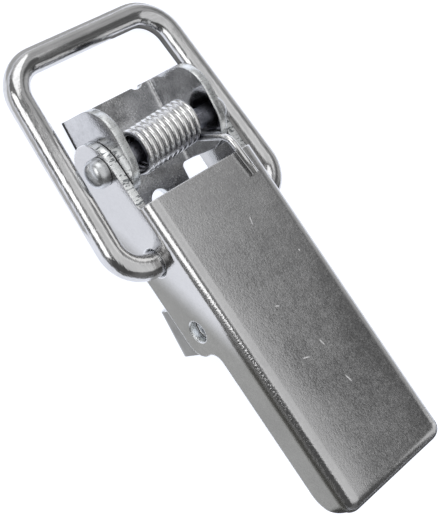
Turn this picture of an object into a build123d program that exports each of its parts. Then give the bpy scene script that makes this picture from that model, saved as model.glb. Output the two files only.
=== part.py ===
from build123d import *
from math import asin, cos, radians, sin, tan
import os

# Over-centre toggle latch in zinc-plated steel, closed, with its wire loop lying forward.
# X runs from the wire loop to the lever's free end, Y along the pivot pin, Z up from the mounting face.
# The pivot axis stands over the origin.

# Sheet metal
sheet = 2.5
bend_inside = 1.5
bend_outside = bend_inside + sheet
side_clearance = 0.25

# Base bracket: a plate with two ears at the pivot and two lock lugs at the far end
base_width = 35.5
ear_start = -16.0
ear_length = 25.6
ear_height = 24.0
ear_corner = 10.0
waist_width = 23.8
waist_corner = 1.5
lug_start = 43.0
lug_length = 14.3
lug_corner = 3.0
lug_headroom = 0.3
nick_radius = 2.6
nick_depth = 1.0
nick_spacing = 20.4
screw_hole = 6.6
screw_start = 15.8
screw_spacing = 32.0

# Pivot pin, held in the ears and free to turn in the lever
pin_height = 14.4
pin_diameter = 6.0
pin_seat_clearance = 0.02
pin_running_clearance = 0.08
pin_head = 8.4
pin_head_rim = 1.0
pin_head_rise = 4.2
pin_head_gap = 0.15

# Lever: lengths are taken along the lever from the pivot axis and heights above that axis
lever_tilt = 11.8
lever_reach = 110.8
pivot_reach = 9.2
web_start = 14.4
web_top = 9.1
web_relief = 1.0
deep_back = -12.4
deep_end = 56.5
deep_corner = 5.2
step_corner = 3.4
shallow_back = -2.9
lip_height = 4.2
end_setback = 1.3
end_corner = 7.5
lock_hole = 6.5
lock_along = 49.5
lock_up = -5.0

# Wire loop, hinged in the lever's flanges and narrower at its bar
wire = 7.3
wire_swing_clearance = 0.35
wire_hole_chamfer = 0.5
wire_tip_chamfer = 0.8
wire_tip_inset = 3.0
loop_along = 27.9
loop_up = -3.5
loop_reach = 63.7
loop_hinge_overhang = 9.9
loop_bar_overhang = 6.1
loop_hinge_bend = 8.8
loop_bar_bend = 10.0
loop_floor_gap = 0.05

# Torsion spring, loose on the pin between the ears, so that its pull sets it a little askew
spring_wire = 2.0
spring_bore = 9.4
spring_pitch = 2.05
spring_turns = 10
spring_start = -8.8
spring_skew = 3.5
spring_foot_angle = -60.0
spring_leg_angle = -26.0
spring_leg_reach = 22.4
spring_leg_bend = 4.5
spring_seat_gap = 0.05

# Sizes that follow from the ones above
ear_end = ear_start + ear_length
lug_end = lug_start + lug_length
base_length = lug_end - ear_start
lever_width = base_width + 2 * (side_clearance + sheet)
loop_hinge_width = lever_width + 2 * loop_hinge_overhang
loop_bar_width = lever_width + 2 * loop_bar_overhang
front_edge = web_top - bend_outside
web_underside = web_top - sheet
lip_edge = web_top - lip_height
round_end = (front_edge - deep_back) / 2
tilt = radians(lever_tilt)

# Directions and planes of the lever: one plane along its web, one seen from the side
pivot = Vector(0, 0, pin_height)
lever_out = Vector(cos(tilt), 0, sin(tilt))
lever_up = Vector(-sin(tilt), 0, cos(tilt))
lever_side = Plane(pivot, x_dir=lever_out, z_dir=(0, -1, 0))


def on_lever(along, up):
    """Point on the middle plane, given along the lever and above the pivot axis."""
    return pivot + lever_out * along + lever_up * up


def lug_top(x):
    """Height of a lug's top edge, which runs parallel to the lever's web just under its bend."""
    room = web_underside - bend_inside - lug_headroom
    return pin_height + x * tan(tilt) + room / cos(tilt)


lock_center = on_lever(lock_along, lock_up)
loop_center = on_lever(loop_along, loop_up)

# Base bracket
with BuildPart() as base_bracket:
    # Folded channel, as tall as the lugs
    channel_height = max(ear_height, lug_top(lug_end))
    with BuildSketch(Plane.YZ.offset(ear_start)):
        with Locations((0, channel_height / 2)):
            Rectangle(base_width, channel_height)
        with Locations((0, channel_height / 2 + sheet)):
            Rectangle(base_width - 2 * sheet, channel_height, mode=Mode.SUBTRACT)
    extrude(amount=base_length)
    fillet(base_bracket.edges().filter_by(Axis.X).group_by(Axis.Z)[0], bend_outside)
    inside_corners = base_bracket.faces().filter_by(Axis.Z).sort_by(Axis.Z)[1].edges().filter_by(Axis.X)
    fillet(inside_corners, bend_inside)
    # Side view of the ears, the lugs and the plate that joins them
    with BuildSketch(Plane.XZ) as side_view:
        with Locations((ear_start + ear_length / 2, ear_height / 2)):
            Rectangle(ear_length, ear_height)
        fillet(side_view.vertices().group_by(Axis.Y)[-1], ear_corner)
        with BuildLine():
            Polyline(
                (lug_start, 0),
                (lug_end, 0),
                (lug_end, lug_top(lug_end)),
                (lug_start, lug_top(lug_start)),
                close=True,
            )
        make_face()
        lug_corners = side_view.vertices().filter_by_position(Axis.X, lug_start - sheet, lug_end + sheet)
        fillet(lug_corners.sort_by(Axis.Y)[-2:], lug_corner)
        with Locations((ear_start + base_length / 2, sheet / 2)):
            Rectangle(base_length, sheet)
    extrude(amount=base_width, both=True, mode=Mode.INTERSECT)
    # Plan view of the waist between ears and lugs, and of the nicks in the front edge
    with BuildSketch() as plan_cuts:
        with Locations(((ear_end + lug_start) / 2, 0)):
            Rectangle(lug_start - ear_end, base_width)
            Rectangle(lug_start - ear_end, waist_width, mode=Mode.SUBTRACT)
        waist_corners = plan_cuts.vertices().filter_by_position(Axis.Y, -waist_width / 2, waist_width / 2)
        fillet(waist_corners, waist_corner)
        with Locations((ear_start - nick_radius + nick_depth, 0)):
            with GridLocations(0, nick_spacing, 1, 2):
                Circle(nick_radius)
    extrude(amount=sheet, mode=Mode.SUBTRACT)
    with Locations((screw_start, 0), (screw_start + screw_spacing, 0)):
        Hole(screw_hole / 2)
    # Holes for the pin and for a lock, through both walls
    with BuildSketch(Plane.XZ):
        with Locations((0, pin_height)):
            Circle(pin_diameter / 2 + pin_seat_clearance)
        with Locations((lock_center.X, lock_center.Z)):
            Circle(lock_hole / 2)
    extrude(amount=base_width, both=True, mode=Mode.SUBTRACT)
base_bracket.part.label = "base_bracket"

# Pivot pin with a domed head outside each flange
with BuildPart() as pivot_pin:
    under_head = lever_width / 2 + pin_head_gap
    with BuildSketch(Plane.XY.offset(pin_height)):
        with BuildLine():
            Spline(
                (0, under_head + pin_head_rise),
                (pin_head / 2, under_head + pin_head_rim),
                tangents=((1, 0), (0, -1)),
            )
            Polyline(
                (pin_head / 2, under_head + pin_head_rim),
                (pin_head / 2, under_head),
                (pin_diameter / 2, under_head),
                (pin_diameter / 2, 0),
            )
            mirror(about=Plane.XZ)
            Line((0, under_head + pin_head_rise), (0, -under_head - pin_head_rise))
        make_face()
    revolve(axis=Axis(pivot, (0, 1, 0)))
pivot_pin.part.label = "pivot_pin"

# Lever: a drawn tray, trimmed to the flange outline
with BuildPart() as lever:
    with BuildSketch(lever_side):
        with Locations(((lever_reach - pivot_reach) / 2, (web_top + deep_back) / 2)):
            Rectangle(lever_reach + pivot_reach, web_top - deep_back)
    extrude(amount=lever_width / 2, both=True)
    along_lever = Axis(pivot, lever_out)
    above_lever = Axis(pivot, lever_up)
    web = lever.faces().sort_by(above_lever)[-1]
    free_end = lever.faces().sort_by(along_lever)[-1]
    fillet(web.edges().sort_by(along_lever)[1:] + free_end.edges().filter_by(above_lever), bend_outside)
    open_faces = [lever.faces().sort_by(above_lever)[0], lever.faces().sort_by(along_lever)[0]]
    offset(amount=-sheet, openings=open_faces)
    # Flange outline: round at the pivot, deep as far as the lock hole, shallow beyond it
    with BuildSketch(lever_side) as outline:
        with BuildLine():
            Polyline(
                (round_end - pivot_reach, front_edge),
                (web_start, front_edge),
                (web_start, web_top + sheet),
                (lever_reach + sheet, web_top + sheet),
                (lever_reach + sheet, lip_edge),
                (lever_reach - end_setback, lip_edge),
                (lever_reach - end_setback, shallow_back),
                (deep_end, shallow_back),
                (deep_end, deep_back),
                (round_end - pivot_reach, deep_back),
            )
            ThreePointArc(
                (round_end - pivot_reach, deep_back),
                (-pivot_reach, deep_back + round_end),
                (round_end - pivot_reach, front_edge),
            )
        make_face()
        fillet(outline.vertices().sort_by_distance((deep_end, deep_back))[0], deep_corner)
        fillet(outline.vertices().sort_by_distance((deep_end, shallow_back))[0], step_corner)
        fillet(outline.vertices().sort_by_distance((lever_reach - end_setback, shallow_back))[0], end_corner)
        fillet(outline.vertices().sort_by_distance((web_start, front_edge))[0], web_relief)
    extrude(amount=lever_width, both=True, mode=Mode.INTERSECT)
    # Holes for the pin, the wire ends and a lock, through both flanges
    with BuildSketch(lever_side):
        Circle(pin_diameter / 2 + pin_running_clearance)
        with Locations((loop_along, loop_up)):
            Circle(wire / 2 + wire_swing_clearance)
        with Locations((lock_along, lock_up)):
            Circle(lock_hole / 2)
    extrude(amount=lever_width, both=True, mode=Mode.SUBTRACT)
    wire_rims = lever.edges().filter_by(GeomType.CIRCLE).sort_by_distance(loop_center)
    wire_rims = wire_rims.filter_by(lambda rim: abs(rim.radius - wire / 2 - wire_swing_clearance) < 0.001)
    chamfer([wire_rims.sort_by(Axis.Y)[0], wire_rims.sort_by(Axis.Y)[-1]], wire_hole_chamfer)
lever.part.label = "lever"

# Wire loop, lying forward with its bar just off the mounting surface
loop_drop = asin((loop_center.Z - wire / 2 - loop_floor_gap) / loop_reach)
loop_plane = Plane(
    loop_center,
    x_dir=(-cos(loop_drop), 0, -sin(loop_drop)),
    z_dir=(sin(loop_drop), 0, -cos(loop_drop)),
)
with BuildPart() as bail:
    wire_tip = lever_width / 2 - sheet - wire_tip_inset
    with BuildLine(loop_plane) as loop_path:
        FilletPolyline(
            (0, -wire_tip),
            (0, -loop_hinge_width / 2),
            (loop_reach, -loop_bar_width / 2),
            (loop_reach, loop_bar_width / 2),
            (0, loop_hinge_width / 2),
            (0, wire_tip),
            radius=(loop_hinge_bend, loop_bar_bend, loop_bar_bend, loop_hinge_bend),
        )
    with BuildSketch(Plane(loop_path.line @ 0, z_dir=loop_path.line % 0)):
        Circle(wire / 2)
    sweep()
    chamfer(bail.faces().filter_by(Axis.Y).edges(), wire_tip_chamfer)
bail.part.label = "bail"

# Torsion spring: a foot on the plate, a close-wound coil and a leg over the lever's web
coil_radius = (spring_bore + spring_wire) / 2
leg_angle = spring_leg_angle + lever_tilt
coil_turns = spring_turns + (leg_angle - spring_foot_angle) / 360
foot_angle = radians(spring_foot_angle)
skew = radians(spring_skew)
coil_out = Vector(cos(skew), sin(skew), 0)
coil_plane = Plane(
    pivot + Vector(0, spring_start, 0),
    x_dir=coil_out * cos(foot_angle) + Vector(0, 0, sin(foot_angle)),
    z_dir=(-sin(skew), cos(skew), 0),
)
coil = coil_plane * Helix(spring_pitch, coil_turns * spring_pitch, coil_radius, lefthand=True)
foot_start = coil @ 0
foot_way = coil % 0
foot_drop = foot_start.Z - sheet - spring_wire / 2 - spring_seat_gap
leg_start = coil @ 1
leg_way = coil % 1
leg_climb = web_top + spring_wire / 2 + spring_seat_gap - (leg_start - pivot).dot(lever_up)
leg_knee = leg_start + leg_way * (leg_climb / leg_way.dot(lever_up))
leg_run = spring_leg_reach - (leg_knee - pivot).dot(lever_out)
leg_tip = leg_knee + lever_out * leg_run + Vector(0, leg_run * tan(skew), 0)
with BuildPart() as torsion_spring:
    with BuildLine() as spring_path:
        Line(foot_start - foot_way * (foot_drop / foot_way.Z), foot_start)
        add(coil)
        FilletPolyline(leg_start, leg_knee, leg_tip, radius=spring_leg_bend)
    with BuildSketch(Plane(spring_path.line @ 0, z_dir=spring_path.line % 0)):
        Circle(spring_wire / 2)
    sweep(is_frenet=True)
torsion_spring.part.label = "torsion_spring"

os.makedirs("parts", exist_ok=True)
for piece in (base_bracket, pivot_pin, lever, bail, torsion_spring):
    export_step(piece.part, f"parts/{piece.part.label}.step")
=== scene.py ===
"""Toggle latch in zinc-plated steel, dressed for the photograph's view.

Sizes of the object and places on it are in millimetres, and MM brings them to metres. The lamps and the
floor are given in metres.
"""

from math import cos, pi, radians, sin, tan

import bmesh
import bpy
from mathutils import Matrix, Vector


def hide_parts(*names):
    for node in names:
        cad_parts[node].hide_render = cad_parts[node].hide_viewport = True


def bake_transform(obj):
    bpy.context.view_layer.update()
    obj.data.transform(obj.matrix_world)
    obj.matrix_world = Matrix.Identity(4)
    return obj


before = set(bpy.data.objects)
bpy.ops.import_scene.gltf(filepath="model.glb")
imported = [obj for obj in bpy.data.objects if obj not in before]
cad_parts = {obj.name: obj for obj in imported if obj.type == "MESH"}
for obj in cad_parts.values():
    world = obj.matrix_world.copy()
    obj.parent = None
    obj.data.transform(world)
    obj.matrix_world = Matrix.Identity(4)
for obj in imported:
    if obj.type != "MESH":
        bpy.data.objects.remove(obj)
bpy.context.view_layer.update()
scene = bpy.context.scene
scene.view_settings.view_transform = "Standard"

MM = 0.001
WHITE = (1, 1, 1)

# Sizes shared with the solids
SHEET = 2.5
BEND_OUTSIDE = 4.0
BASE_WIDTH = 35.5
LEVER_WIDTH = 41.0
PIN_HEIGHT = 14.4
LEVER_TILT = radians(11.8)
WEB_TOP = 9.1
WEB_START = 14.4
FRONT_EDGE = WEB_TOP - BEND_OUTSIDE
SPRING_WIRE = 2.0
SPRING_BORE = 9.4
SPRING_PITCH = 2.05
SPRING_TURNS = 10
SPRING_START = -8.8
SPRING_SKEW = radians(3.5)
SPRING_FOOT_ANGLE = radians(-60)
SPRING_LEG_ANGLE = radians(-26) + LEVER_TILT
SPRING_LEG_REACH = 22.4
SPRING_LEG_BEND = 4.5
SPRING_SEAT_GAP = 0.05

PIVOT = Vector((0, 0, PIN_HEIGHT))
LEVER_OUT = Vector((cos(LEVER_TILT), 0, sin(LEVER_TILT)))
LEVER_UP = Vector((-sin(LEVER_TILT), 0, cos(LEVER_TILT)))


# Shader helpers


class Nodes:
    """A node tree with short calls for adding and joining its nodes."""

    def __init__(self, tree):
        self.tree = tree

    def add(self, kind, inputs=None, **settings):
        """Adds a node; an input is a plain value or the output socket of another node."""
        node = self.tree.nodes.new("ShaderNode" + kind)
        for key, value in settings.items():
            setattr(node, key, value)
        for key, value in (inputs or {}).items():
            self.put(node.inputs[key], value)
        return node

    def put(self, socket, value):
        """Joins the output socket of another node to an input, or sets the input to a plain value."""
        if isinstance(value, bpy.types.NodeSocket):
            self.tree.links.new(value, socket)
        else:
            socket.default_value = value

    def math(self, operation, first, second=0.0):
        """Result of an operation on two numbers."""
        return self.add("Math", {0: first, 1: second}, operation=operation).outputs[0]

    def vector(self, operation, first, second):
        """Results of an operation on two vectors, under Vector or Value."""
        return self.add("VectorMath", {0: first, 1: second}, operation=operation).outputs

    def coordinate(self, vector, axis):
        """One coordinate of a vector."""
        return self.add("SeparateXYZ", {"Vector": vector}).outputs[axis]

    def step(self, value, start, end, low=0.0, high=1.0):
        """Smooth step of a value between two places."""
        node = self.add(
            "MapRange",
            {"Value": value, "From Min": start, "From Max": end, "To Min": low, "To Max": high},
            interpolation_type="SMOOTHSTEP",
        )
        return node.outputs["Result"]

    def mix(self, share, first, second):
        """Number between two others."""
        return self.add("Mix", {"Factor": share, "A": first, "B": second}).outputs["Result"]

    def tint(self, share, first, second):
        """Colour between two others, each three numbers or the output of another node."""
        node = self.add("Mix", {"Factor": share}, data_type="RGBA")
        for key, colour in (("A", first), ("B", second)):
            self.put(node.inputs[key], (*colour, 1) if isinstance(colour, tuple) else colour)
        return node.outputs["Result"]


# Range that most of a noise lies in
NOISE_RANGE = (0.3, 0.7)


class Shader(Nodes):
    """A new material with its surface and the textures that it is made of."""

    def __init__(self, name):
        self.material = bpy.data.materials.new(name)
        self.material.use_nodes = True
        super().__init__(self.material.node_tree)
        self.surface = self.tree.nodes["Principled BSDF"]

    def millimetres(self, stretch=(1, 1, 1)):
        """Place on the piece in millimetres, drawn out along an axis where stretch is below 1."""
        place = self.add("TexCoord").outputs["Object"]
        scale = tuple(factor / MM for factor in stretch)
        return self.add("Mapping", {"Vector": place, "Scale": scale}).outputs["Vector"]

    def noise(self, place, size, detail=3.0, rough=0.55):
        """Noise whose blotches are about size millimetres across."""
        node = self.add(
            "TexNoise", {"Vector": place, "Scale": 1 / size, "Detail": detail, "Roughness": rough}
        )
        return node.outputs["Fac"]

    def ramp(self, value, low, high):
        """Value of a noise brought from its usual range to the range low to high."""
        start, end = NOISE_RANGE
        node = self.add(
            "MapRange",
            {"Value": value, "From Min": start, "From Max": end, "To Min": low, "To Max": high},
        )
        return node.outputs["Result"]


# Cosine between the broken and the plain normal where wear on an edge starts and where it is full
EDGE_TURN = (0.995, 0.8)
# Turn to the side where a face starts to count as a side and where it does fully
SIDE_FACING = (0.7, 0.95)
# Share of the spread in tone that is left on a calm face
CALM_SPREAD = 0.4


class Metal(Shader):
    """Plated steel that is built up in layers: patches, edges, grain and tints."""

    def __init__(self, name, patch, roughness, spread=0.25):
        super().__init__(name)
        self.place = self.millimetres()
        cloud = self.noise(self.place, patch, detail=5)
        self.tone = self.ramp(cloud, 0.5 - spread, 0.5 + spread)
        self.rough = self.ramp(cloud, *roughness)
        self.broken_edge = 0.0
        self.normal = None
        self.shade = None

    def from_pivot(self):
        """Place on the piece in millimetres, counted from the middle of the pivot axis."""
        return self.vector("SUBTRACT", self.place, tuple(PIVOT))["Vector"]

    def reach(self):
        """Distance from the pivot axis, in millimetres."""
        around = self.vector("MULTIPLY", self.from_pivot(), (1, 0, 1))["Vector"]
        return self.vector("LENGTH", around, (0, 0, 0))["Value"]

    def off_middle(self):
        """Distance from the middle plane of the latch, in millimetres."""
        return self.math("ABSOLUTE", self.coordinate(self.place, "Y"))

    def facing_side(self):
        """1 on the faces that look along Y, 0 on those that look along the latch or up."""
        normal = self.add("TexCoord").outputs["Normal"]
        return self.math("ABSOLUTE", self.coordinate(normal, "Y"))

    def edges(self, radius, wear):
        """Edges broken to a small radius and rubbed bright by wear; worn is 1 on them."""
        self.normal = self.add("Bevel", {"Radius": radius * MM}, samples=6).outputs["Normal"]
        plain = self.add("NewGeometry").outputs["Normal"]
        turned = self.vector("DOT_PRODUCT", self.normal, plain)["Value"]
        self.broken_edge = self.step(turned, *EDGE_TURN)
        self.tone = self.math("ADD", self.tone, self.math("MULTIPLY", self.broken_edge, wear))

    def relief(self, height, depth):
        """Bump from a height, where a height of 1 stands depth millimetres out."""
        node = self.add("Bump", {"Height": height, "Strength": 1.0, "Distance": depth * MM})
        if self.normal is not None:
            self.put(node.inputs["Normal"], self.normal)
        self.normal = node.outputs["Normal"]

    def layer(self, fine, depth, contrast, unevenness):
        """Adds a noise to the tone, the roughness and the bump."""
        self.tone = self.math("ADD", self.tone, self.ramp(fine, -contrast, contrast))
        self.rough = self.math("ADD", self.rough, self.ramp(fine, -unevenness, unevenness))
        self.relief(fine, depth)

    def grain(self, size, depth, contrast, unevenness, stretch=(1, 1, 1)):
        """Adds a fine noise as a layer, drawn out along an axis where stretch is below 1."""
        fine = self.noise(self.millimetres(stretch), size, detail=3, rough=0.6)
        self.layer(fine, depth, contrast, unevenness)

    def calm(self, share):
        """Draws the tone in towards the middle of its range where share is 1."""
        narrow = self.math("MULTIPLY", self.tone, CALM_SPREAD)
        even = self.math("ADD", narrow, (1 - CALM_SPREAD) / 2)
        self.tone = self.mix(share, self.tone, even)

    def finish(self, dark, light):
        """Joins the layers to the surface."""
        colour = self.tint(self.tone, dark, light)
        if self.shade is not None:
            colour = self.vector("MULTIPLY", colour, self.shade)["Vector"]
        self.put(self.surface.inputs["Base Color"], colour)
        self.put(self.surface.inputs["Roughness"], self.rough)
        self.put(self.surface.inputs["Metallic"], 1.0)
        self.put(self.surface.inputs["Normal"], self.normal)
        return self.material


# Finish of the lever, whose places are taken along the lever from the pivot, above it and across it

# Distance from the middle where the web starts to fall off to the bends, and how fast it does
CROWN_START = 8
CROWN_CURVE = 0.0024
# Stretch along the lever in which the web takes on that fall
CROWN_RUN = (20, 80)
# Turn to the side over which a bend takes on its finish, and over which it gives it up again to the flange
BEND_FACING = (0.3, 0.6)
BEND_LEAVING = (0.99, 0.9)
BEND_ROUGHNESS = 0.10
# Where the wrinkles of the bends begin along the lever and where they are full
WRINKLE_RUN = (30, 70)
WRINKLE_SIZE = 0.7
WRINKLE_DEPTH = 0.06
# Start and end of the turn from smooth sides with a painted highlight to dull sides with painted shade, and
# how much later it comes per millimetre of height
DULL_RUN = (32, 54)
DULL_SLOPE = 2.2
BRIGHT_ROUGHNESS = 0.10
DULL_ROUGHNESS = 0.26
# Painted highlight on the smooth sides and painted shade on the dull ones, as factors on their colour
SMOOTH_SIDE_HIGHLIGHT_TINT = (1.05, 1.04, 1.02)
DULL_SIDE_SHADE_TINT = (0.465, 0.455, 0.41)
# Edge wear and a painted highlight along the broken edges of the lever, as a factor on their colour
EDGE_WEAR_AND_HIGHLIGHT_TINT = (1.6, 1.6, 1.6)
# Ends of each scratch, along and across the lever
WEB_SCRATCHES = (
    ((31.0, 4.9), (34.2, 4.1)),
    ((55.0, -4.9), (55.7, -3.2)),
    ((70.4, -6.9), (71.3, -4.1)),
    ((68.9, 1.2), (71.4, 1.8)),
    ((80.5, 1.7), (83.8, 2.7)),
    ((46.0, 12.3), (46.8, 12.6)),
)
# Distance from its line at which a scratch ends, and the shares of its length and width where it is full
SCRATCH_WIDTH = 0.25
SCRATCH_FULL_LENGTH = 0.3
SCRATCH_FULL_WIDTH = 1 / 3
SCRATCH_ROUGHNESS = 0.35
SCRATCH_TINT = (1.7, 1.7, 1.7)


def lever_zinc():
    """Grainy web with a few scratches, wrinkled bends, and sides with a painted highlight that turn dull,
    with painted shade, beyond the wire.
    """
    metal = Metal("lever_zinc", patch=14, roughness=(0.20, 0.26))
    metal.edges(radius=0.7, wear=0.4)
    from_pivot = metal.from_pivot()
    along = metal.vector("DOT_PRODUCT", from_pivot, tuple(LEVER_OUT))["Value"]
    up = metal.vector("DOT_PRODUCT", from_pivot, tuple(LEVER_UP))["Value"]
    facing = metal.facing_side()
    crown_web(metal, along)
    metal.grain(size=2.2, depth=0.02, contrast=0.10, unevenness=0.03)
    metal.grain(size=0.55, depth=0.022, contrast=0.22, unevenness=0.05)
    wrinkle_bends(metal, along, facing)
    dull_and_shade_sides(metal, along, up, facing)
    # Edge wear and painted highlight along the broken edges of the lever
    metal.shade = metal.tint(metal.broken_edge, metal.shade, EDGE_WEAR_AND_HIGHLIGHT_TINT)
    scratch_web(metal, along, up)
    return metal.finish(dark=(0.50, 0.50, 0.505), light=(0.66, 0.66, 0.665))


def crown_web(metal, along):
    """Slight fall of the web to its bends."""
    past = metal.math("SUBTRACT", metal.off_middle(), CROWN_START)
    past = metal.math("MAXIMUM", past, 0.0)
    crown = metal.math("MULTIPLY", metal.math("MULTIPLY", past, past), metal.step(along, *CROWN_RUN))
    metal.relief(metal.math("MULTIPLY", crown, -CROWN_CURVE), depth=1.0)


def wrinkle_bends(metal, along, facing):
    """Smooth bends that grow wrinkles towards the free end."""
    bent = metal.math("MULTIPLY", metal.step(facing, *BEND_FACING), metal.step(facing, *BEND_LEAVING))
    metal.rough = metal.mix(bent, metal.rough, BEND_ROUGHNESS)
    wrinkled = metal.math("MULTIPLY", bent, metal.step(along, *WRINKLE_RUN))
    wrinkles = metal.noise(metal.place, WRINKLE_SIZE, detail=2)
    metal.relief(metal.math("MULTIPLY", wrinkles, wrinkled), WRINKLE_DEPTH)


def dull_and_shade_sides(metal, along, up, facing):
    """Sides that are smooth, with a painted highlight, near the pivot and beside the bend, and dull, with
    painted shade, beyond.
    """
    side = metal.step(facing, *SIDE_FACING)
    leaning = metal.math("SUBTRACT", along, metal.math("MULTIPLY", up, DULL_SLOPE))
    dull = metal.step(leaning, *DULL_RUN)
    metal.rough = metal.mix(side, metal.rough, metal.mix(dull, BRIGHT_ROUGHNESS, DULL_ROUGHNESS))
    metal.calm(metal.math("SUBTRACT", side, metal.math("MULTIPLY", side, dull)))
    # Painted highlight on the sides near the pivot and beside the bend, painted shade on them beyond
    metal.shade = metal.tint(side, WHITE, metal.tint(dull, SMOOTH_SIDE_HIGHLIGHT_TINT, DULL_SIDE_SHADE_TINT))


def scratch_web(metal, along, up):
    """Bright scratches on the upper face of the web."""
    across = metal.coordinate(metal.place, "Y")
    spot = metal.add("CombineXYZ", {"X": along, "Y": across}).outputs["Vector"]
    marks = 0.0
    for start, end in WEB_SCRATCHES:
        marks = metal.math("MAXIMUM", marks, scratch(metal, spot, Vector(start), Vector(end)))
    marks = metal.math("MULTIPLY", marks, metal.step(up, WEB_TOP - SHEET, WEB_TOP - SHEET / 2))
    metal.shade = metal.tint(marks, metal.shade, SCRATCH_TINT)
    metal.rough = metal.math("ADD", metal.rough, metal.math("MULTIPLY", marks, SCRATCH_ROUGHNESS))


def scratch(metal, spot, start, end):
    """1 on a thin line between two points, fading to its ends and its sides."""
    way = (end - start).normalized()
    middle = (start + end) / 2
    spot = metal.vector("SUBTRACT", spot, (middle.x, middle.y, 0))["Vector"]
    length = metal.math("ABSOLUTE", metal.vector("DOT_PRODUCT", spot, (way.x, way.y, 0))["Value"])
    width = metal.math("ABSOLUTE", metal.vector("DOT_PRODUCT", spot, (-way.y, way.x, 0))["Value"])
    half = (end - start).length / 2
    inside = metal.step(length, half, half * SCRATCH_FULL_LENGTH)
    beside = metal.step(width, SCRATCH_WIDTH, SCRATCH_WIDTH * SCRATCH_FULL_WIDTH)
    return metal.math("MULTIPLY", inside, beside)


# Finish of the base

# Distance from the middle plane where the outer faces of the base start
OUTER_FACE = (BASE_WIDTH / 2 - 1, BASE_WIDTH / 2 - 0.5)
EAR_ROUGHNESS = 0.12
# Painted shade on the outer faces of the ears, slight, and of the lugs, deep, and the place along X where
# the lugs start
EAR_PAINTED_SHADE = (0.95, 0.94, 0.92)
LUG_PAINTED_SHADE = (0.42, 0.41, 0.37)
LUG_START = (30, 34)


def base_zinc():
    """Mottled plate; ears and lugs with calm outer faces that carry painted shade, slight on the ears and
    deep on the lugs.
    """
    metal = Metal("base_zinc", patch=6, roughness=(0.16, 0.26), spread=0.5)
    metal.edges(radius=0.3, wear=0.4)
    metal.grain(size=0.6, depth=0.03, contrast=0.3, unevenness=0.06)
    metal.rough = metal.mix(metal.step(metal.facing_side(), *SIDE_FACING), metal.rough, EAR_ROUGHNESS)
    outside = metal.step(metal.off_middle(), *OUTER_FACE)
    metal.calm(outside)
    lug = metal.step(metal.coordinate(metal.place, "X"), *LUG_START)
    # Painted shade on the outer faces, slight on the ears and deep on the lugs
    metal.shade = metal.tint(outside, WHITE, metal.tint(lug, EAR_PAINTED_SHADE, LUG_PAINTED_SHADE))
    return metal.finish(dark=(0.42, 0.425, 0.44), light=(0.74, 0.745, 0.76))


# Finish of the cut edges

# Distance from the middle plane where the ears end and the flanges start
FLANGE_START = (BASE_WIDTH / 2, BASE_WIDTH / 2 + 0.3)
# Slope of the flanges' rims to the outside, where the shears have drawn the sheet down
RIM_LEAN = 0.3
# Distance from the pivot axis where the torn marks in those rims end, and within which they are full
TORN_REACH = (16, 14)
# Noise below which such a mark starts and is full, the size of the marks and their draw across the sheet
TORN_NOISE = (0.47, 0.38)
TORN_SIZE = 0.75
TORN_DRAW = 0.3
TORN_TINT = (0.25, 0.26, 0.27)


def cut_edge():
    """Edge left by the shears: bright, with torn marks across the sheet near the pivot."""
    metal = Metal("cut_edge", patch=2.5, roughness=(0.22, 0.34))
    metal.edges(radius=1.2, wear=0.2)
    metal.grain(size=0.8, depth=0.02, contrast=0.2, unevenness=0.06, stretch=(1, 0.35, 1))
    off_middle = metal.off_middle()
    flange = metal.step(off_middle, *FLANGE_START)
    lean = metal.math("MULTIPLY", off_middle, -RIM_LEAN)
    metal.relief(metal.math("MULTIPLY", flange, lean), depth=1.0)
    torn = metal.math("MULTIPLY", flange, metal.step(metal.reach(), *TORN_REACH))
    tears = metal.noise(metal.millimetres((1, TORN_DRAW, 1)), TORN_SIZE, detail=2)
    marks = metal.math("MULTIPLY", torn, metal.step(tears, *TORN_NOISE))
    metal.shade = metal.tint(marks, WHITE, TORN_TINT)
    return metal.finish(dark=(0.62, 0.64, 0.65), light=(0.98, 1.0, 1.0))


# Finishes of the pin, the wire loop and the spring

# Painted shade on the pin's shaft beside its heads
SHAFT_PAINTED_SHADE = (0.62, 0.62, 0.68)
# Place along X where the loop turns from its bar into its limbs
BAR_BEND = (-31, -26)
# Width of the drawing streaks on the loop, and how far they are drawn out
STREAK_SIZE = 0.8
STREAK_DRAW = 0.07
# Distance from the pivot axis of the grooves between the turns of the spring and of its outside
GROOVE_REACH = (SPRING_BORE / 2 + 0.4 * SPRING_WIRE, SPRING_BORE / 2 + 0.95 * SPRING_WIRE)
# Painted shade in the grooves between the turns and on the sides of the coil
GROOVE_PAINTED_SHADE = (0.30, 0.30, 0.32)


def pin_zinc():
    """Satin heads with the marks of the riveting, and painted shade on the shaft between them."""
    metal = Metal("pin_zinc", patch=2.5, roughness=(0.26, 0.36))
    metal.grain(size=0.5, depth=0.02, contrast=0.25, unevenness=0.05)
    head = metal.step(metal.off_middle(), BASE_WIDTH / 2, LEVER_WIDTH / 2)
    # Painted shade on the shaft between the ears
    metal.shade = metal.tint(head, SHAFT_PAINTED_SHADE, WHITE)
    return metal.finish(dark=(0.58, 0.59, 0.60), light=(0.76, 0.78, 0.80))


def loop_zinc():
    """Polished wire, with drawing streaks along X on the limbs and along Y on the bar."""
    metal = Metal("loop_zinc", patch=9, roughness=(0.08, 0.14))
    limbs = metal.noise(metal.millimetres((STREAK_DRAW, 1, 1)), STREAK_SIZE, detail=4, rough=0.6)
    bar = metal.noise(metal.millimetres((1, STREAK_DRAW, 1)), STREAK_SIZE, detail=4, rough=0.6)
    past_bar = metal.step(metal.coordinate(metal.place, "X"), *BAR_BEND)
    streaks = metal.mix(past_bar, bar, limbs)
    metal.layer(streaks, depth=0.06, contrast=0.3, unevenness=0.04)
    return metal.finish(dark=(0.54, 0.54, 0.545), light=(0.70, 0.70, 0.705))


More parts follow.
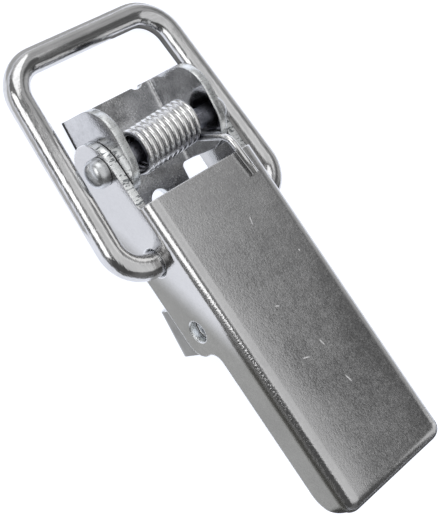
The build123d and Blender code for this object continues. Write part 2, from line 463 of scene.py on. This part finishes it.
def spring_steel():
    """Bright wire with fine drawing marks, and painted shade in the grooves between the turns."""
    metal = Metal("spring_steel", patch=3, roughness=(0.20, 0.28))
    metal.grain(size=0.5, depth=0.01, contrast=0.2, unevenness=0.04)
    outside = metal.step(metal.reach(), *GROOVE_REACH)
    # Painted shade wherever the wire lies nearer the pivot axis than the outside of the coil
    metal.shade = metal.tint(outside, GROOVE_PAINTED_SHADE, WHITE)
    return metal.finish(dark=(0.74, 0.74, 0.74), light=(0.92, 0.92, 0.92))


# Finishes on the solids

# Part of a normal along an axis below which a face is turned away from it, and above which it looks along it
TURNED_AWAY = 0.5
LOOKING_ALONG = 0.9
# Depth of the flanges' rims from the outside, and slack behind the front edge of the web
RIM_DEPTH = 0.8 * SHEET
FRONT_SLACK = 0.1
CUT_EDGE = cut_edge()


def coat(node, material, is_cut=None):
    """Gives a solid of the frame its finish, and the cut edges of a sheet theirs."""
    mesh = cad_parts[node].data
    mesh.materials.clear()
    mesh.materials.append(material)
    if is_cut is not None:
        mesh.materials.append(CUT_EDGE)
        for face in mesh.polygons:
            face.material_index = int(is_cut(face.center / MM, face.normal))


def is_lever_cut(place, normal):
    """True on the rims of the flanges and on the front edge of the web."""
    along = (place - PIVOT).dot(LEVER_OUT)
    up = (place - PIVOT).dot(LEVER_UP)
    on_flange = up < FRONT_EDGE and abs(place.y) > LEVER_WIDTH / 2 - RIM_DEPTH
    rim = on_flange and abs(normal.y) < TURNED_AWAY
    front = along < WEB_START + FRONT_SLACK and normal.dot(LEVER_OUT) < -LOOKING_ALONG
    return rim or front


def is_base_cut(place, normal):
    """True on the rims of the ears and lugs, and on the rims and holes of the plate."""
    wall_rim = place.z > BEND_OUTSIDE and abs(normal.y) < TURNED_AWAY
    along_plate = abs(normal.y) < TURNED_AWAY or abs(place.y) < BASE_WIDTH / 2 - BEND_OUTSIDE
    plate_rim = place.z < SHEET and abs(normal.z) < TURNED_AWAY and along_plate
    return wall_rim or plate_rim


coat("lever", lever_zinc(), is_lever_cut)
coat("base_bracket", base_zinc(), is_base_cut)
coat("pivot_pin", pin_zinc())
coat("bail", loop_zinc())


# Torsion spring, as a tube from its foot on the base to its leg on the lever

POINTS_PER_TURN = 48
TUBE_SIDES = 20
KNEE_STEPS = 12


def tube(name, path, radius, material):
    """Closed round tube along a list of points."""
    mesh = bpy.data.meshes.new(name)
    shape = bmesh.new()
    rings = []
    side = None
    for index, point in enumerate(path):
        ahead = path[min(index + 1, len(path) - 1)] - path[max(index - 1, 0)]
        ahead.normalize()
        if side is None:
            side = ahead.orthogonal()
        side = (side - ahead * side.dot(ahead)).normalized()
        other = ahead.cross(side)
        ring = []
        for step in range(TUBE_SIDES):
            turn = 2 * pi * step / TUBE_SIDES
            ring.append(shape.verts.new(point + (side * cos(turn) + other * sin(turn)) * radius))
        rings.append(ring)
    for ring, following in zip(rings, rings[1:]):
        for step in range(TUBE_SIDES):
            after = (step + 1) % TUBE_SIDES
            shape.faces.new((ring[step], ring[after], following[after], following[step]))
    shape.faces.new(reversed(rings[0]))
    shape.faces.new(rings[-1])
    bmesh.ops.recalc_face_normals(shape, faces=shape.faces)
    shape.to_mesh(mesh)
    shape.free()
    mesh.polygons.foreach_set("use_smooth", [len(face.vertices) == 4 for face in mesh.polygons])
    mesh.materials.append(material)
    piece = bpy.data.objects.new(name, mesh)
    scene.collection.objects.link(piece)
    return piece


def spring_path():
    """Foot, coil and leg of the spring, in millimetres."""
    radius = (SPRING_BORE + SPRING_WIRE) / 2
    turns = SPRING_TURNS + (SPRING_LEG_ANGLE - SPRING_FOOT_ANGLE) / (2 * pi)
    steps = round(POINTS_PER_TURN * turns)
    out = Vector((cos(SPRING_SKEW), sin(SPRING_SKEW), 0))
    axis = Vector((-sin(SPRING_SKEW), cos(SPRING_SKEW), 0))
    up = Vector((0, 0, 1))
    start = PIVOT + Vector((0, SPRING_START, 0))
    coil = []
    for step in range(steps + 1):
        share = step / steps
        angle = SPRING_FOOT_ANGLE + 2 * pi * turns * share
        around = out * cos(angle) + up * sin(angle)
        coil.append(start + axis * (SPRING_PITCH * turns * share) + around * radius)
    rise = SPRING_PITCH / (2 * pi * radius)

    def heading(angle):
        return (up * cos(angle) - out * sin(angle) + axis * rise).normalized()

    foot_way = heading(SPRING_FOOT_ANGLE)
    foot_drop = coil[0].z - SHEET - SPRING_WIRE / 2 - SPRING_SEAT_GAP
    foot = coil[0] - foot_way * (foot_drop / foot_way.z)
    leg_way = heading(SPRING_LEG_ANGLE)
    climb = WEB_TOP + SPRING_WIRE / 2 + SPRING_SEAT_GAP - (coil[-1] - PIVOT).dot(LEVER_UP)
    knee = coil[-1] + leg_way * (climb / leg_way.dot(LEVER_UP))
    run = SPRING_LEG_REACH - (knee - PIVOT).dot(LEVER_OUT)
    tip = knee + LEVER_OUT * run + Vector((0, run * tan(SPRING_SKEW), 0))
    return [foot] + coil + round_corner(coil[-1], knee, tip, SPRING_LEG_BEND) + [tip]


def round_corner(before, corner, after, radius):
    """Points of the arc that rounds a corner between two straight runs."""
    back = (before - corner).normalized()
    on = (after - corner).normalized()
    half = back.angle(on) / 2
    centre = corner + (back + on).normalized() * (radius / sin(half))
    reach = radius * cos(half) / sin(half)
    start = corner + back * reach - centre
    end = corner + on * reach - centre
    sweep = start.angle(end)
    points = []
    for step in range(KNEE_STEPS + 1):
        share = step / KNEE_STEPS
        mix = start * sin((1 - share) * sweep) + end * sin(share * sweep)
        points.append(centre + mix / sin(sweep))
    return points


spring_points = [point * MM for point in spring_path()]
spring = tube("spring_wire", spring_points, SPRING_WIRE / 2 * MM, spring_steel())
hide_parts("torsion_spring")
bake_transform(spring)


# Floor, light and camera

FLOOR_SIZE = 20
FLOOR_TONE = 0.9
STAGE_ROUGHNESS = 0.9
# Brightness and colour of the floor's own glow, and its share beside the lit floor
FLOOR_GLOW = 1.7
FLOOR_GLOW_COLOUR = (0.88, 0.91, 1)
FLOOR_GLOW_SHARE = 0.6
# Height of the cards above the floor
CARD_HEIGHT = 0.2
STUDIO_LEVEL = 0.20
# Azimuth, elevation, inner and outer radius in degrees, and strength added to the level
STUDIO_PANELS = (
    (-60, 30, 20, 40, -0.10),
    (-110, 57, 6, 18, 0.15),
    (130, 50, 8, 20, 0.28),
    (85, 50, 10, 24, -0.08),
    (160, 0, 10, 50, 0.45),
    (36, 15, 20, 40, -0.10),
    (-83, 9, 2, 8, 0.22),
    (95, 12, 8, 30, 0.35),
)


def grey(tone):
    """Grey as a colour with its alpha."""
    return (tone, tone, tone, 1)


def white_floor():
    """Pale floor that shows white to the camera and to reflections, and keeps the shadow."""
    bpy.ops.mesh.primitive_plane_add(size=FLOOR_SIZE)
    floor = bpy.context.object
    floor.name = "floor"
    shader = Shader("floor_white")
    path = shader.add("LightPath").outputs
    seen = shader.math("MAXIMUM", path["Is Camera Ray"], path["Is Glossy Ray"])
    seen = shader.math("MAXIMUM", seen, path["Is Transmission Ray"])
    share = shader.math("MULTIPLY", seen, FLOOR_GLOW_SHARE)
    shader.put(shader.surface.inputs["Base Color"], grey(FLOOR_TONE))
    shader.put(shader.surface.inputs["Roughness"], STAGE_ROUGHNESS)
    glow = shader.add("Emission", {"Color": (*FLOOR_GLOW_COLOUR, 1), "Strength": FLOOR_GLOW})
    mixed = shader.add("MixShader", {"Fac": share})
    shader.put(mixed.inputs[1], shader.surface.outputs[0])
    shader.put(mixed.inputs[2], glow.outputs[0])
    shader.put(shader.tree.nodes["Material Output"].inputs["Surface"], mixed.outputs[0])
    floor.data.materials.append(shader.material)


def card(name, corners, tone):
    """Grey card that lies on the floor beside the object, seen only as a reflection in the metal."""
    mesh = bpy.data.meshes.new(name)
    points = [(x * MM, y * MM, CARD_HEIGHT * MM) for x, y in corners]
    mesh.from_pydata(points, [], [range(len(points))])
    shader = Shader(name)
    shader.put(shader.surface.inputs["Base Color"], grey(tone))
    shader.put(shader.surface.inputs["Roughness"], STAGE_ROUGHNESS)
    mesh.materials.append(shader.material)
    piece = bpy.data.objects.new(name, mesh)
    piece.visible_camera = False
    piece.visible_diffuse = False
    piece.visible_shadow = False
    scene.collection.objects.link(piece)


def cards():
    """Cards that give the metal the grey and dark lines of the photograph, by their corners in X and Y."""
    # In front of the near side, with an edge that steps in beside the lever
    near_edge = ((-400, -105), (62, -105), (62, -60), (800, -196))
    card("front_flag", (*near_edge, (800, -1200), (-400, -1200)), tone=0.3)
    # Beside the near limb of the loop
    card("limb_flag", ((-60, -36), (12, -38), (12, -58), (-60, -58)), tone=0.95)
    # Beyond the free end of the lever
    card("end_flag", ((132, -60), (800, -190), (800, 700), (132, 150)), tone=0.2)
    # Beyond the bar of the loop
    card("bar_flag", ((-39, -34), (-39, 34), (-110, 34), (-110, -34)), tone=0.8)
    # Painted shadow under the near ear and flange: a dark card that stands in for their contact shadow in
    # the reflections
    card("ear_painted_shadow", ((-18, -14), (10, -14), (10, -20), (-18, -20)), tone=0.15)
    # Painted shadow inside the loop, along its far limb: a grey card that stands in for the floor shaded by
    # the latch in the reflections
    card("inner_painted_shadow", ((-40, 12), (0, 12), (0, 27), (-40, 27)), tone=0.4)


def softbox(name, place, aim, size, radiance, turn=0):
    """Area lamp whose face has the given brightness, turned in its own plane by some degrees."""
    width, height = size
    lamp = bpy.data.lights.new(name, "AREA")
    lamp.shape = "RECTANGLE"
    lamp.size = width
    lamp.size_y = height
    lamp.energy = radiance * pi * width * height
    holder = bpy.data.objects.new(name, lamp)
    facing = (Vector(aim) - Vector(place)).to_track_quat("-Z", "Y").to_matrix().to_4x4()
    holder.matrix_world = Matrix.Translation(place) @ facing @ Matrix.Rotation(radians(turn), 4, "Z")
    holder.visible_camera = False
    scene.collection.objects.link(holder)


def softboxes():
    """Large lamp over the lever, one at the near side, a small one at the far side, one beyond the loop."""
    softbox("overhead", (0.105, -0.03, 0.5), (0.105, -0.03, 0), (0.69, 0.59), radiance=0.60, turn=-5)
    softbox("front", (-0.16, -0.43, 0.225), (0.02, 0, 0.02), (0.40, 0.26), radiance=1.7)
    softbox("side", (0.156, 0.125, 0.096), (-0.034, -0.01, 0.007), (0.10, 0.08), radiance=0.7)
    softbox("back", (-0.42, 0, 0.34), (0, 0, 0.02), (0.42, 0.34), radiance=1.3)


def toward(azimuth, elevation):
    """Direction from the object, with azimuth counted from +X towards +Y, in degrees."""
    turn = radians(azimuth)
    lift = radians(elevation)
    return Vector((cos(turn) * cos(lift), sin(turn) * cos(lift), sin(lift)))


def studio():
    """World of soft panels and dark gaps round the object, as its reflections in the photograph show."""
    world = bpy.data.worlds.new("studio")
    world.use_nodes = True
    nodes = Nodes(world.node_tree)
    way = nodes.add("TexCoord").outputs["Generated"]
    level = STUDIO_LEVEL
    for azimuth, elevation, inner, outer, strength in STUDIO_PANELS:
        near = nodes.vector("DOT_PRODUCT", way, toward(azimuth, elevation))["Value"]
        panel = nodes.step(near, cos(radians(outer)), cos(radians(inner)), 0.0, strength)
        level = nodes.math("ADD", panel, level)
    nodes.put(nodes.tree.nodes["Background"].inputs["Color"], level)
    scene.world = world


def photo_camera():
    """Camera fitted to the photograph, which is 440 by 514 pixels."""
    place = Vector((-12.0, -170.8, 265.2)) * MM
    target = Vector((36.7, 0.65, 14.4)) * MM
    roll = radians(75.77)
    camera = bpy.data.cameras.new("photo_camera")
    camera.sensor_width = 36
    camera.lens = 77.0
    camera.clip_start = 0.01
    holder = bpy.data.objects.new("photo_camera", camera)
    facing = (target - place).to_track_quat("-Z", "Y").to_matrix().to_4x4()
    holder.matrix_world = Matrix.Translation(place) @ facing @ Matrix.Rotation(roll, 4, "Z")
    scene.collection.objects.link(holder)
    scene.camera = holder


white_floor()
cards()
studio()
softboxes()
photo_camera()
